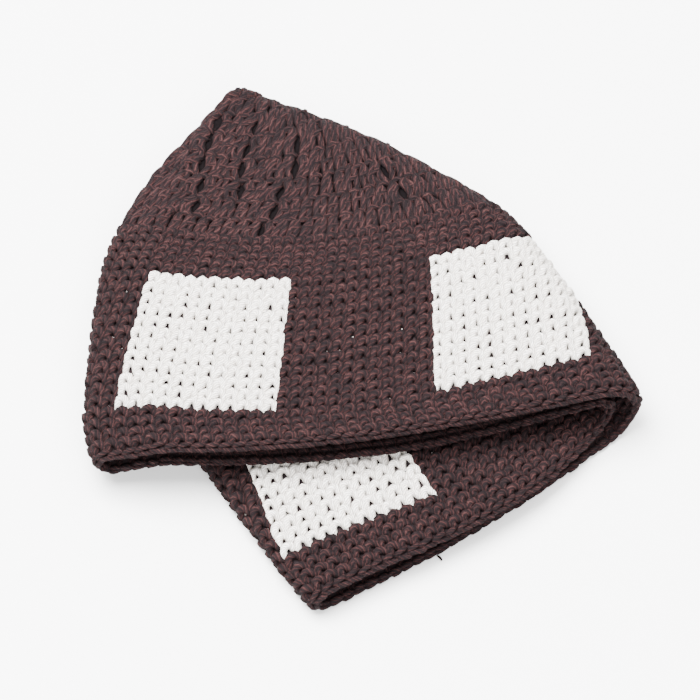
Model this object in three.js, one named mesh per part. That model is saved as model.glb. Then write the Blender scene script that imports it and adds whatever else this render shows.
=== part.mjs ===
// A crocheted kufi lying folded in four on a table, in millimetres, +Z up.
// The cap is a tube of stitches closed at the crown. It is pressed flat along two creases, the left
// and the right one, and then folded over along its middle, which gives an outer and an inner fold.
// Four layers lie on each other: top, third, second and bottom, between those four bends.
// A place on the fabric is a column (counted in stitches round the cap) and a way (share of the
// fabric's length from the rim, 0, to the tip of the crown, 1).
import * as THREE from "three";

// Driving dimensions
const FOLDED_WIDTH = 175; // left crease to outer fold
const FOLDED_DEPTH = 184; // tip of the crown to the lowest corner of the rim
const WALL = 2.8; // thickness of the crocheted fabric
const EDGE_WIDTH = 3.6; // chain edge at the rim
const EDGE_THICKNESS = 3.8;
const ROW_HEIGHT = 3.8; // low stitch
const TALL_ROW_HEIGHT = 7; // tall stitch of the crown
const LOWER_POCKET = 6; // hollow between bottom and second layer, at the rim
const UPPER_POCKET = 7; // hollow between third and top layer, at the rim
const LAYER_GAP = 1.6; // slit between second and third layer, at the rim
const INNER_FOLD_INSET = 7.4; // inner fold behind the outer one, middle of wall to middle of wall
const INNER_FOLD_SPREAD = 3; // how far the inner fold opens up and down at the rim
const SIDE_DROP = 7; // how far the left side sinks past the lower layers
const ROW_BEND = 11.4; // how far the rows of the top layer bend towards the rim
const SEAM = 0.3; // clearance between pieces

// Counts
const SQUARES = 6;
const SQUARE_STITCHES = 12;
const ROWS_BELOW_SQUARES = 4;
const ROWS_OF_SQUARES = 12;
const ROWS_ABOVE_SQUARES = 5;
const TALL_ROWS = 8;
const STITCHES = SQUARES * SQUARE_STITCHES * 2;
const LAYERS_ROUND = 3; // folded widths that fit round the squares, a little under the real number

// Lengths along the fabric
const SQUARES_START = EDGE_WIDTH + ROWS_BELOW_SQUARES * ROW_HEIGHT;
const SQUARES_END = SQUARES_START + ROWS_OF_SQUARES * ROW_HEIGHT;
const CROWN_START = SQUARES_END + ROWS_ABOVE_SQUARES * ROW_HEIGHT;
const FABRIC_LENGTH = CROWN_START + TALL_ROWS * TALL_ROW_HEIGHT;
const SEAM_STITCHES = (SEAM * STITCHES) / (FOLDED_WIDTH * LAYERS_ROUND);

// Outline of the bends seen from above: x in shares of FOLDED_WIDTH, y in shares of FOLDED_DEPTH
const PLAN = [
  { way: 0.0, leftX: -0.455, leftY: -0.266, foldX: 0.527, foldY: -0.147, rightX: -0.06, rightY: -0.515 },
  { way: 0.135, leftX: -0.473, leftY: -0.163, foldX: 0.478, foldY: -0.06, rightX: -0.123, rightY: -0.435 },
  { way: 0.462, leftX: -0.449, leftY: 0.109, foldX: 0.335, foldY: 0.167, rightX: -0.274, rightY: -0.217 },
  { way: 0.598, leftX: -0.418, leftY: 0.205, foldX: 0.269, foldY: 0.243, rightX: -0.326, rightY: -0.136 },
  { way: 0.699, leftX: -0.378, leftY: 0.283, foldX: 0.173, foldY: 0.31, rightX: -0.345, rightY: 0.011 },
  { way: 0.799, leftX: -0.318, leftY: 0.359, foldX: 0.047, foldY: 0.383, rightX: -0.32, rightY: 0.185 },
  { way: 0.874, leftX: -0.267, leftY: 0.415, foldX: -0.072, foldY: 0.436, rightX: -0.277, rightY: 0.322 },
  { way: 0.95, leftX: -0.235, leftY: 0.452, foldX: -0.152, foldY: 0.465, rightX: -0.237, rightY: 0.422 },
  { way: 1.0, leftX: -0.227, leftY: 0.462, foldX: -0.166, foldY: 0.473, rightX: -0.227, rightY: 0.447 },
];

// Heights: shares of LOWER_POCKET, LAYER_GAP, UPPER_POCKET, SIDE_DROP, INNER_FOLD_INSET and
// INNER_FOLD_SPREAD.
// overhang is the share of a row that lies left of the lower layers.
const STACK = [
  { way: 0.0, lower: 1.0, gap: 1.0, upper: 1.0, drop: 1.0, overhang: 0.14, inset: 1.0, spread: 1.0 },
  { way: 0.135, lower: 0.9, gap: 1.0, upper: 0.95, drop: 0.95, overhang: 0.12, inset: 1.0, spread: 0.8 },
  { way: 0.462, lower: 0.55, gap: 0.94, upper: 0.7, drop: 0.8, overhang: 0.11, inset: 0.9, spread: 0.25 },
  { way: 0.598, lower: 0.37, gap: 0.88, upper: 0.46, drop: 0.65, overhang: 0.11, inset: 0.8, spread: 0.0 },
  { way: 0.699, lower: 0.27, gap: 0.81, upper: 0.29, drop: 0.5, overhang: 0.11, inset: 0.7, spread: 0.0 },
  { way: 0.799, lower: 0.22, gap: 0.75, upper: 0.21, drop: 0.3, overhang: 0.11, inset: 0.65, spread: 0.0 },
  { way: 0.874, lower: 0.2, gap: 0.7, upper: 0.17, drop: 0.12, overhang: 0.11, inset: 0.62, spread: 0.0 },
  { way: 0.95, lower: 0.18, gap: 0.66, upper: 0.15, drop: 0.0, overhang: 0.1, inset: 0.6, spread: 0.0 },
  { way: 1.0, lower: 0.18, gap: 0.66, upper: 0.15, drop: 0.0, overhang: 0.1, inset: 0.6, spread: 0.0 },
];

// Bend of each layer's rows towards the rim, in shares of ROW_BEND
const ROWS = [
  { way: 0.0, top: 0.62, bottom: 0.31, second: 0.7, third: 0.35 },
  { way: 0.135, top: 1.0, bottom: 0.62, second: 0.84, third: 0.85 },
  { way: 0.462, top: 0.95, bottom: 0.53, second: 0.6, third: 0.92 },
  { way: 0.598, top: 0.96, bottom: 0.44, second: 0.46, third: 0.9 },
  { way: 0.699, top: 0.86, bottom: 0.3, second: 0.3, third: 0.8 },
  { way: 0.799, top: 0.68, bottom: 0.2, second: 0.2, third: 0.62 },
  { way: 0.874, top: 0.44, bottom: 0.1, second: 0.1, third: 0.4 },
  { way: 0.95, top: 0.09, bottom: 0.0, second: 0.0, third: 0.08 },
  { way: 1.0, top: 0.0, bottom: 0.0, second: 0.0, third: 0.0 },
];

// Stitch, counted round the cap, at which each bend lies
const COLUMNS = [
  { way: 0.0, left: -2.5, fold: 39.4, right: 70.0, inner: 98.0 },
  { way: 0.135, left: -2.6, fold: 39.0, right: 70.6, inner: 98.8 },
  { way: 0.462, left: -4.3, fold: 34.2, right: 68.6, inner: 101.5 },
  { way: 0.598, left: -4.6, fold: 32.2, right: 68.2, inner: 102.5 },
  { way: 1.0, left: -4.6, fold: 32.2, right: 68.2, inner: 102.5 },
];

const TOP_SKEW = 0.85; // moves the deepest place of a bent row towards the left crease
const SECOND_SKEW = 1.4; // moves it towards the inner fold
const SPREAD_START = 0.55; // share of a row at which the inner fold starts to open
const NARROWEST_ANGLE = 0.42; // least sine of the angle between a row and a bend
const [TOP, THIRD] = [0, 3]; // places of those layers in a row's list
const TURN_SHARE = 0.94; // most of a row's width that its two turns may take
const SLOPE_STEP = 0.004; // step of way used to measure slopes
const COLUMN_STEP = 0.05; // step of columns used to measure slopes

/** Smooth value of a table's named column at a way: a cubic through the rows. */
function tableValue(table, name, way) {
  const last = table.length - 1;
  let i = 0;
  while (i < last - 1 && way > table[i + 1].way) i += 1;
  const [a, b] = [table[i], table[i + 1]];
  const span = b.way - a.way;
  const t = Math.min(Math.max((way - a.way) / span, 0), 1);
  const before = table[Math.max(i - 1, 0)];
  const after = table[Math.min(i + 2, last)];
  const slopeA = ((b[name] - before[name]) / (b.way - before.way)) * span;
  const slopeB = ((after[name] - a[name]) / (after.way - a.way)) * span;
  const t2 = t * t;
  const t3 = t2 * t;
  const start = (2 * t3 - 3 * t2 + 1) * a[name] + (t3 - 2 * t2 + t) * slopeA;
  return start + (3 * t2 - 2 * t3) * b[name] + (t3 - t2) * slopeB;
}

/** Point of a bend's outline seen from above. */
function outlinePoint(bend, way) {
  const x = tableValue(PLAN, `${bend}X`, way) * FOLDED_WIDTH;
  const y = tableValue(PLAN, `${bend}Y`, way) * FOLDED_DEPTH;
  return new THREE.Vector2(x, y);
}

/** Sine of the angle between a row's direction and the outline of a bend. */
function crossing(bend, direction, way) {
  const low = outlinePoint(bend, Math.max(way - SLOPE_STEP, 0));
  const high = outlinePoint(bend, Math.min(way + SLOPE_STEP, 1));
  const along = high.sub(low).normalize();
  return Math.max(Math.abs(along.cross(direction)), NARROWEST_ANGLE);
}

/** Everything about one row of the folded fabric: its four bends and the heights of its layers. */
function rowFrame(way) {
  const left = outlinePoint("left", way);
  const fold = outlinePoint("fold", way);
  const right = outlinePoint("right", way);
  const upperRow = fold.clone().sub(left);
  const upperWidth = upperRow.length();
  const upperDirection = upperRow.normalize();
  const lowerDirection = fold.clone().sub(right).normalize();
  const skin = WALL / 2;
  left.addScaledVector(upperDirection, skin);
  fold.addScaledVector(upperDirection, -skin);
  right.addScaledVector(lowerDirection, skin);
  const inset = (tableValue(STACK, "inset", way) * INNER_FOLD_INSET) / crossing("fold", upperDirection, way);
  const inner = fold.clone().addScaledVector(upperDirection, -Math.min(inset, upperWidth / 2));
  const bottom = WALL / 2;
  const second = bottom + WALL + LOWER_POCKET * tableValue(STACK, "lower", way);
  const third = second + WALL + LAYER_GAP * tableValue(STACK, "gap", way);
  const top = third + WALL + UPPER_POCKET * tableValue(STACK, "upper", way);
  const spread = INNER_FOLD_SPREAD * tableValue(STACK, "spread", way);
  const bends = {
    left: { name: "left", place: left, height: (top + third) / 2 },
    fold: { name: "fold", place: fold, height: (top + bottom) / 2 },
    right: { name: "right", place: right, height: (bottom + second) / 2 },
    inner: { name: "fold", place: inner, height: (second + third) / 2 },
  };
  const layer = (name, from, to, height, rise, skew) => ({
    from: bends[from],
    to: bends[to],
    height,
    rise,
    skew,
    bend: tableValue(ROWS, name, way) * ROW_BEND,
  });
  return {
    drop: SIDE_DROP * tableValue(STACK, "drop", way),
    overhang: tableValue(STACK, "overhang", way),
    layers: [
      layer("top", "left", "fold", top, 0, TOP_SKEW),
      layer("bottom", "fold", "right", bottom, 0, 1),
      layer("second", "right", "inner", second, -spread, SECOND_SKEW),
      layer("third", "inner", "left", third, spread, 1),
    ],
  };
}

/** Height of a layer at a share of its row's width: near the inner fold it rises or sinks. */
function layerHeight(layer, part) {
  const fromInner = layer.rise > 0 ? part : 1 - part;
  return layer.height + layer.rise * (1 - THREE.MathUtils.smoothstep(fromInner, 0, 1 - SPREAD_START));
}

/** Length of a quarter of an ellipse, close enough for spacing stitches. */
function quarterLength(a, b) {
  return (Math.PI / 2) * Math.sqrt((a * a + b * b) / 2);
}

/** Direction, width and stretches (turn, flat stretch, turn) of one layer of a row. */
function layerShape(frame, index, way) {
  const layer = frame.layers[index];
  const chord = layer.to.place.clone().sub(layer.from.place);
  const width = chord.length();
  const direction = chord.normalize();
  const fromRadius = Math.abs(layerHeight(layer, 0) - layer.from.height);
  const toRadius = Math.abs(layerHeight(layer, 1) - layer.to.height);
  let fromReach = fromRadius / crossing(layer.from.name, direction, way);
  let toReach = toRadius / crossing(layer.to.name, direction, way);
  const tight = Math.min((width * TURN_SHARE) / (fromReach + toReach), 1);
  fromReach *= tight;
  toReach *= tight;
  const fromLength = quarterLength(fromReach, fromRadius);
  const toLength = quarterLength(toReach, toRadius);
  return { direction, width, fromReach, toReach, fromLength, toLength, flatLength: width - fromReach - toReach };
}

/** Middle of the wall at a share (0 to 1) of one layer of a row. */
function layerPoint(frame, index, share, way) {
  const layer = frame.layers[index];
  const shape = layerShape(frame, index, way);
  const { direction, width, fromReach, toReach, fromLength, toLength, flatLength } = shape;
  const whole = fromLength + flatLength + toLength;
  const travelled = share * whole;
  let across = fromReach + travelled - fromLength;
  let turned = 1;
  let bendHeight = 0;
  if (travelled < fromLength) {
    const angle = (travelled / fromLength) * (Math.PI / 2);
    across = fromReach * (1 - Math.cos(angle));
    turned = Math.sin(angle);
    bendHeight = layer.from.height;
  } else if (whole - travelled < toLength) {
    const angle = ((whole - travelled) / toLength) * (Math.PI / 2);
    across = width - toReach * (1 - Math.cos(angle));
    turned = Math.sin(angle);
    bendHeight = layer.to.height;
  }
  const part = across / width;
  let height = layerHeight(layer, part) * turned + bendHeight * (1 - turned);
  const rimward = new THREE.Vector2(direction.y, -direction.x).multiplyScalar(Math.sign(direction.x));
  const place = layer.from.place.clone().addScaledVector(direction, across);
  place.addScaledVector(rimward, layer.bend * Math.sin(Math.PI * Math.max(part, 0) ** layer.skew));
  if (index === TOP || index === THIRD) {
    const fromLeft = index === TOP ? part : 1 - part;
    height -= frame.drop * (1 - THREE.MathUtils.smoothstep(fromLeft, 0, frame.overhang));
  }
  return new THREE.Vector3(place.x, place.y, height);
}

/** Middle of the wall at a column, counted in stitches, and a way. */
function fabricPoint(column, way) {
  const left = tableValue(COLUMNS, "left", way);
  const starts = [left, ...["fold", "right", "inner"].map((name) => tableValue(COLUMNS, name, way))];
  starts.push(left + STITCHES);
  const turned = left + THREE.MathUtils.euclideanModulo(column - left, STITCHES);
  let index = 0;
  while (index < 3 && turned >= starts[index + 1]) index += 1;
  const share = (turned - starts[index]) / (starts[index + 1] - starts[index]);
  return layerPoint(rowFrame(way), index, share, way);
}

/** Outward direction of the wall at a column and a way. */
function fabricNormal(column, way) {
  const lowWay = Math.max(way - SLOPE_STEP, 0);
  const highWay = Math.min(way + SLOPE_STEP, 1);
  const round = fabricPoint(column + COLUMN_STEP, way).sub(fabricPoint(column - COLUMN_STEP, way));
  const up = fabricPoint(column, highWay).sub(fabricPoint(column, lowWay));
  return round.cross(up).normalize();
}

/** Columns at which a bend can lie, with the room that its turn takes and the step used there. */
const TURN_ZONES = [
  { bend: "left", room: 2.6, step: 0.8 },
  { bend: "fold", room: 4, step: 0.9 },
  { bend: "right", room: 2.4, step: 0.8 },
  { bend: "inner", room: 2.6, step: 0.7 },
];
const FLAT_STEP = 2.4;

/** Widest step allowed at a column, so that turns stay round. */
function stepAt(column) {
  let step = FLAT_STEP;
  for (const zone of TURN_ZONES) {
    const places = COLUMNS.map((row) => row[zone.bend]);
    const low = Math.min(...places) - zone.room;
    const high = Math.max(...places) + zone.room;
    const turned = low + THREE.MathUtils.euclideanModulo(column - low, STITCHES);
    if (turned <= high) step = Math.min(step, zone.step);
  }
  return step;
}

/** Grid lines from one column to another, close together at the turns. */
function columnLines(from, to) {
  const lines = [from];
  let column = from;
  while (column < to) {
    column = Math.min(column + stepAt(column + SEAM), to);
    if (to - column < SEAM) column = to;
    lines.push(column);
  }
  return lines;
}

/** Evenly spaced grid lines. */
function evenLines(from, to, count) {
  return Array.from({ length: count + 1 }, (_, i) => from + ((to - from) * i) / count);
}

/** Two quarters of a grid cell as triangles. */
function cell(indices, a, b, c, d) {
  indices.push(a, b, c, a, c, d);
}

/** A mesh's geometry from corner points and triangles, flattened where it rests on the table. */
function solidGeometry(points, indices) {
  const places = points.flatMap((point) => [point.x, point.y, Math.max(point.z, 0)]);
  const geometry = new THREE.BufferGeometry();
  geometry.setAttribute("position", new THREE.Float32BufferAttribute(places, 3));
  geometry.setIndex(indices);
  geometry.computeVertexNormals();
  return geometry;
}

/** One row of skin points of a panel, at a distance outwards from the middle of the wall. */
function panelRow(columns, way, offset) {
  return columns.map((column) =>
    fabricPoint(column, way).addScaledVector(fabricNormal(column, way), offset)
  );
}

/** Faces between the rows of the outer skin and those of the inner skin, and along both ends. */
function wallFaces(outer, inner, cellsRound, rows) {
  const indices = [];
  const end = rows - 1;
  for (let i = 0; i < cellsRound; i += 1) {
    for (let j = 0; j < end; j += 1) {
      cell(indices, outer(i, j), outer(i + 1, j), outer(i + 1, j + 1), outer(i, j + 1));
      cell(indices, inner(i, j), inner(i, j + 1), inner(i + 1, j + 1), inner(i + 1, j));
    }
    cell(indices, outer(i, 0), inner(i, 0), inner(i + 1, 0), outer(i + 1, 0));
  }
  return indices;
}

/** A walled panel of fabric between two columns and two ways. */
function panelGeometry(columns, ways) {
  const outerRows = ways.map((way) => panelRow(columns, way, WALL / 2));
  const innerRows = ways.map((way) => panelRow(columns, way, -WALL / 2));
  const n = columns.length;
  const rows = ways.length;
  const end = rows - 1;
  const side = n - 1;
  const outer = (i, j) => j * n + i;
  const inner = (i, j) => n * rows + outer(i, j);
  const indices = wallFaces(outer, inner, side, rows);
  for (let i = 0; i < side; i += 1) {
    cell(indices, outer(i, end), outer(i + 1, end), inner(i + 1, end), inner(i, end));
  }
  for (let j = 0; j < end; j += 1) {
    cell(indices, outer(0, j), outer(0, j + 1), inner(0, j + 1), inner(0, j));
    cell(indices, outer(side, j), inner(side, j), inner(side, j + 1), outer(side, j + 1));
  }
  return solidGeometry([...outerRows.flat(), ...innerRows.flat()], indices);
}

const CROWN_CELLS = 11; // rows of faces from the crown's edge to its tip
const TURN_CELLS = 4; // faces in each quarter turn of a ring
const FLAT_CELLS = [11, 8, 7, 10]; // faces on the flat stretch of each layer of a ring
const TIP_WAY = 1 - WALL / FABRIC_LENGTH; // where the hollow of the crown ends
const TIP_THINNING = 0.55; // the wall's share of thickness at the very tip

/** Shares of a layer's row at which a ring's grid lines cross it, close together at the turns. */
function ringShares(frame, index, way) {
  const { fromLength, flatLength, toLength } = layerShape(frame, index, way);
  const whole = fromLength + flatLength + toLength;
  return [
    ...evenLines(0, fromLength, TURN_CELLS),
    ...evenLines(fromLength, fromLength + flatLength, FLAT_CELLS[index]).slice(1),
    ...evenLines(fromLength + flatLength, whole, TURN_CELLS).slice(1, -1),
  ].map((length) => length / whole);
}

/** One closed row of skin points, at a distance outwards from the middle of the wall. */
function ringRow(way, offset) {
  const frame = rowFrame(way);
  const [low, high] = [Math.max(way - SLOPE_STEP, 0), Math.min(way + SLOPE_STEP, 1)];
  const [lowFrame, highFrame] = [rowFrame(low), rowFrame(high)];
  const places = frame.layers.flatMap((_, index) =>
    ringShares(frame, index, way).map((share) => ({ index, share }))
  );
  const points = places.map(({ index, share }) => layerPoint(frame, index, share, way));
  return points.map((point, i) => {
    const { index, share } = places[i];
    const before = points[(i + points.length - 1) % points.length];
    const after = points[(i + 1) % points.length];
    const up = layerPoint(highFrame, index, share, high).sub(layerPoint(lowFrame, index, share, low));
    const normal = after.clone().sub(before).cross(up).normalize();
    return point.clone().addScaledVector(normal, offset);
  });
}

/**
 * Faces that close a row of the crown. The row's two sides run from the left crease to the right
 * one, over the outer fold and over the inner fold, and the faces are a ladder between them.
 */
function rowCap(count, rightCrease) {
  const overFold = Array.from({ length: rightCrease + 1 }, (_, i) => i);
  const overInner = Array.from({ length: count - rightCrease + 1 }, (_, i) => (count - i) % count);
  const faces = [];
  const [outerEnd, innerEnd] = [overFold.length - 1, overInner.length - 1];
  let [i, k] = [0, 0];
  while (i < outerEnd || k < innerEnd) {
    if (i / outerEnd <= k / innerEnd) {
      faces.push([overFold[i], overFold[i + 1], overInner[k]]);
      i += 1;
    } else {
      faces.push([overFold[i], overInner[k + 1], overInner[k]]);
      k += 1;
    }
  }
  return faces.filter(([a, b, c]) => a !== b && b !== c && c !== a);
}

/** A walled ring of fabric: rows of { way, outside, inside }, where the last two are wall halves. */
function ringGeometry(rowList, closed) {
  const outerRows = rowList.map((row) => ringRow(row.way, row.outside));
  const innerRows = rowList.map((row) => ringRow(row.innerWay ?? row.way, -row.inside));
  const n = outerRows[0].length;
  const end = rowList.length - 1;
  const outer = (i, j) => j * n + (i % n);
  const inner = (i, j) => n * rowList.length + outer(i, j);
  const indices = wallFaces(outer, inner, n, rowList.length);
  if (closed) {
    const rightCrease = FLAT_CELLS[0] + FLAT_CELLS[1] + 4 * TURN_CELLS;
    for (const [a, b, c] of rowCap(n, rightCrease)) {
      indices.push(outer(a, end), outer(b, end), outer(c, end));
      indices.push(inner(a, end), inner(c, end), inner(b, end));
    }
  } else {
    for (let i = 0; i < n; i += 1) {
      cell(indices, outer(i, end), outer(i + 1, end), inner(i + 1, end), inner(i, end));
    }
  }
  return solidGeometry([...outerRows.flat(), ...innerRows.flat()], indices);
}

/** Rows of the crown: the hollow ends a wall before the tip, and the tip itself is rounded off. */
function crownRows(start) {
  const innerWays = evenLines(start, TIP_WAY, CROWN_CELLS);
  return evenLines(start, 1, CROWN_CELLS).map((way, j) => ({
    way,
    innerWay: innerWays[j],
    outside: (WALL / 2) * (j === CROWN_CELLS ? TIP_THINNING : 1),
    inside: WALL / 2,
  }));
}

const brownYarn = new THREE.MeshStandardMaterial({ color: 0x52383a, roughness: 0.92, metalness: 0 });
const whiteYarn = new THREE.MeshStandardMaterial({ color: 0xf0ece9, roughness: 0.88, metalness: 0 });

const kufi = new THREE.Group();

/** Adds a named piece to the cap. */
function addPiece(name, geometry, material) {
  const mesh = new THREE.Mesh(geometry, material);
  mesh.name = name;
  kufi.add(mesh);
}

/** Share of the fabric's length that a length along it is. */
function wayOf(length) {
  return length / FABRIC_LENGTH;
}

/** Grid lines of a stretch of wall, with half a seam left free at both ends. */
function stretchWays(from, to, count) {
  return evenLines(wayOf(from + SEAM / 2), wayOf(to - SEAM / 2), count);
}

/** A band of plain wall all the way round. */
function bandGeometry(from, to, count) {
  const half = WALL / 2;
  return ringGeometry(stretchWays(from, to, count).map((way) => ({ way, outside: half, inside: half })));
}

const BAND_CELLS = 2;
const PANEL_CELLS = 7;

const edgeHalves = [WALL / 2, EDGE_THICKNESS / 2, WALL / 2];
const edgeRows = evenLines(0, wayOf(EDGE_WIDTH - SEAM / 2), 2).map((way, j) => ({
  way,
  outside: edgeHalves[j],
  inside: edgeHalves[j],
}));
addPiece("chain_edge", ringGeometry(edgeRows), brownYarn);
addPiece("lower_band", bandGeometry(EDGE_WIDTH, SQUARES_START, BAND_CELLS), brownYarn);

const panelWays = stretchWays(SQUARES_START, SQUARES_END, PANEL_CELLS);
for (let i = 0; i < SQUARES; i += 1) {
  const squareStart = i * 2 * SQUARE_STITCHES;
  for (const [part, name, material] of [
    [0, "white_square", whiteYarn],
    [1, "brown_panel", brownYarn],
  ]) {
    const from = squareStart + part * SQUARE_STITCHES + SEAM_STITCHES / 2;
    const to = squareStart + (part + 1) * SQUARE_STITCHES - SEAM_STITCHES / 2;
    addPiece(`${name}_${i + 1}`, panelGeometry(columnLines(from, to), panelWays), material);
  }
}

addPiece("upper_band", bandGeometry(SQUARES_END, CROWN_START, BAND_CELLS), brownYarn);
addPiece("crown", ringGeometry(crownRows(wayOf(CROWN_START + SEAM / 2)), true), brownYarn);

const box = new THREE.Box3().setFromObject(kufi);
const middle = box.getCenter(new THREE.Vector3());
kufi.position.set(-middle.x, -middle.y, -box.min.z);

export default kufi;
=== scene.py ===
"""A crocheted kufi that lies folded in four on a pale floor.

The cap is a tube of stitches closed at the crown, pressed flat along a left and a right crease
and then folded over along its middle. FoldedFabric works out where a stitch of it lies. Each
sub-assembly then lays yarn along that surface: chain stitches at the rim, low stitches on the
wall, tall stitches on the crown. A thin core behind the loops closes the fabric.

Lengths are in millimetres until a mesh is made, which is in metres, like the frame.
"""

import logging
import math
from dataclasses import dataclass, field, replace
from enum import Enum

import bpy
import numpy as np
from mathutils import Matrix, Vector


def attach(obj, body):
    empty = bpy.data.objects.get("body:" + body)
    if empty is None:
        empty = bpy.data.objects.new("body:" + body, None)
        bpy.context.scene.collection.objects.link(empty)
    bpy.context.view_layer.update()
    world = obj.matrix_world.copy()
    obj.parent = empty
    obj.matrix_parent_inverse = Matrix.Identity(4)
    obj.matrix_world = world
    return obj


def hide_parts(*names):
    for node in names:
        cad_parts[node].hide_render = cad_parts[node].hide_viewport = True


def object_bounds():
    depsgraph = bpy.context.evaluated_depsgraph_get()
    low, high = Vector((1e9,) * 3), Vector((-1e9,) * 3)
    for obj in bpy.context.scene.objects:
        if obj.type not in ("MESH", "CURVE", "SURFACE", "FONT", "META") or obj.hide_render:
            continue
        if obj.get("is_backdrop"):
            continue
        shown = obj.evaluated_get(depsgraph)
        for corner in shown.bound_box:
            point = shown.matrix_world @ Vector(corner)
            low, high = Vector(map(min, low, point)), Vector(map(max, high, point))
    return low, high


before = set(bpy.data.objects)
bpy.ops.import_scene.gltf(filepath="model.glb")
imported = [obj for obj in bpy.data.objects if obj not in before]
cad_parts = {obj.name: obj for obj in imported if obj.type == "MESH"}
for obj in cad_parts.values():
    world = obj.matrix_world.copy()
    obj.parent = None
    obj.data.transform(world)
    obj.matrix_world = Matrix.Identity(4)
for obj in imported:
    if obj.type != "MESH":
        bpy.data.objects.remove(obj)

LOG = logging.getLogger("kufi")
MILLIMETRE = 0.001
TURN_STEP = 0.002  # step of turn used to measure slopes
WAY_STEP = 0.003  # step of way used to measure slopes
TURN_SAMPLES, WAY_SAMPLES = 1601, 121  # grid on which the surface's box is measured
TONE_SHIFT = 40.0  # millimetres by which a strand's tone moves its pattern along the strand
GOLDEN_SHARE = 0.618  # step that keeps the colours of neighbouring plies apart
DRY_SPECULAR = 0.06  # specular level of dry cotton, and of the floor


class Layer(Enum):
    """The four layers of the folded cap, in the order in which the fabric passes through them."""

    TOP = 0
    BOTTOM = 1
    SECOND = 2
    THIRD = 3


class Face(Enum):
    """The two faces of the fabric."""

    OUTER = 1.0
    INNER = -1.0


@dataclass(frozen=True)
class WayTable:
    """Named columns of numbers over the way, which is 0 at the rim and 1 at the tip."""

    names: tuple[str, ...]
    rows: tuple[tuple[float, ...], ...]

    def value(self, name: str, way: np.ndarray) -> np.ndarray:
        """Smooth value of a column: a cubic through the rows, with slopes from their neighbours.

        Args:
            name: The column.
            way: Ways at which to read it.

        Returns:
            Its values, in the shape of way.
        """
        table = np.array(self.rows)
        x, y = table[:, 0], table[:, self.names.index(name)]
        low = np.clip(np.searchsorted(x, way, side="left") - 1, 0, len(x) - 2)
        high, before, after = low + 1, np.maximum(low - 1, 0), np.minimum(low + 2, len(x) - 1)
        span = x[high] - x[low]
        t = np.clip((way - x[low]) / span, 0.0, 1.0)
        slope_low = (y[high] - y[before]) / (x[high] - x[before]) * span
        slope_high = (y[after] - y[low]) / (x[after] - x[low]) * span
        start = (2 * t**3 - 3 * t**2 + 1) * y[low] + (t**3 - 2 * t**2 + t) * slope_low
        return start + (3 * t**2 - 2 * t**3) * y[high] + (t**3 - t**2) * slope_high


OUTLINE = WayTable(
    ("way", "left_x", "left_y", "fold_x", "fold_y", "right_x", "right_y"),
    (
        (0.0, -0.455, -0.266, 0.527, -0.147, -0.06, -0.515),
        (0.135, -0.473, -0.163, 0.485, -0.072, -0.123, -0.435),
        (0.462, -0.449, 0.109, 0.335, 0.167, -0.274, -0.217),
        (0.598, -0.418, 0.205, 0.269, 0.243, -0.326, -0.136),
        (0.699, -0.378, 0.283, 0.173, 0.31, -0.345, 0.011),
        (0.799, -0.318, 0.359, 0.047, 0.383, -0.32, 0.185),
        (0.874, -0.267, 0.415, -0.072, 0.436, -0.277, 0.322),
        (0.95, -0.235, 0.452, -0.152, 0.465, -0.237, 0.422),
        (1.0, -0.227, 0.462, -0.166, 0.473, -0.227, 0.447),
    ),
)

STACK = WayTable(
    ("way", "lower", "gap", "upper", "drop", "overhang", "inset", "spread"),
    (
        (0.0, 1.0, 1.0, 1.0, 1.0, 0.14, 1.0, 1.0),
        (0.135, 0.9, 1.0, 0.95, 0.95, 0.12, 1.0, 0.8),
        (0.462, 0.55, 0.94, 0.7, 0.8, 0.11, 0.9, 0.25),
        (0.598, 0.37, 0.88, 0.46, 0.65, 0.11, 0.8, 0.0),
        (0.699, 0.27, 0.81, 0.29, 0.5, 0.11, 0.7, 0.0),
        (0.799, 0.22, 0.75, 0.21, 0.3, 0.11, 0.65, 0.0),
        (0.874, 0.2, 0.7, 0.17, 0.12, 0.11, 0.62, 0.0),
        (0.95, 0.18, 0.66, 0.15, 0.0, 0.1, 0.6, 0.0),
        (1.0, 0.18, 0.66, 0.15, 0.0, 0.1, 0.6, 0.0),
    ),
)

ROW_BENDS = WayTable(
    ("way", "top", "bottom", "second", "third"),
    (
        (0.0, 0.60, 0.31, 0.7, 0.66),
        (0.135, 1.0, 0.62, 0.84, 0.96),
        (0.462, 0.95, 0.53, 0.6, 0.92),
        (0.598, 0.96, 0.44, 0.46, 0.9),
        (0.699, 0.86, 0.3, 0.3, 0.8),
        (0.799, 0.68, 0.2, 0.2, 0.62),
        (0.874, 0.44, 0.1, 0.1, 0.4),
        (0.95, 0.09, 0.0, 0.0, 0.08),
        (1.0, 0.0, 0.0, 0.0, 0.0),
    ),
)

CREASES = WayTable(
    ("way", "left", "fold", "right", "inner"),
    (
        (0.0, -2.5, 39.9, 70.7, 98.8),
        (0.135, -2.6, 39.5, 71.3, 99.6),
        (0.462, -4.3, 34.2, 68.6, 101.5),
        (0.598, -4.6, 32.2, 68.2, 102.5),
        (1.0, -4.6, 32.2, 68.2, 102.5),
    ),
)


def unit(vectors: np.ndarray) -> np.ndarray:
    """Vectors divided by their lengths."""
    return vectors / np.maximum(np.linalg.norm(vectors, axis=-1, keepdims=True), 1e-9)


def ease(value: np.ndarray) -> np.ndarray:
    """Smooth step: 0 below 0, 1 above 1, and 3t² - 2t³ between."""
    t = np.clip(value, 0.0, 1.0)
    return t * t * (3 - 2 * t)


@dataclass
class Bend:
    """One bend of a row: its place seen from above, its height and the outline that it follows."""

    outline: str
    place: np.ndarray
    height: np.ndarray


@dataclass
class Stretch:
    """One layer of a row: the bends that it joins, its height, how it opens and how it curves."""

    start: Bend
    end: Bend
    height: np.ndarray
    rise: np.ndarray
    bend: np.ndarray
    skew: float


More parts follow.
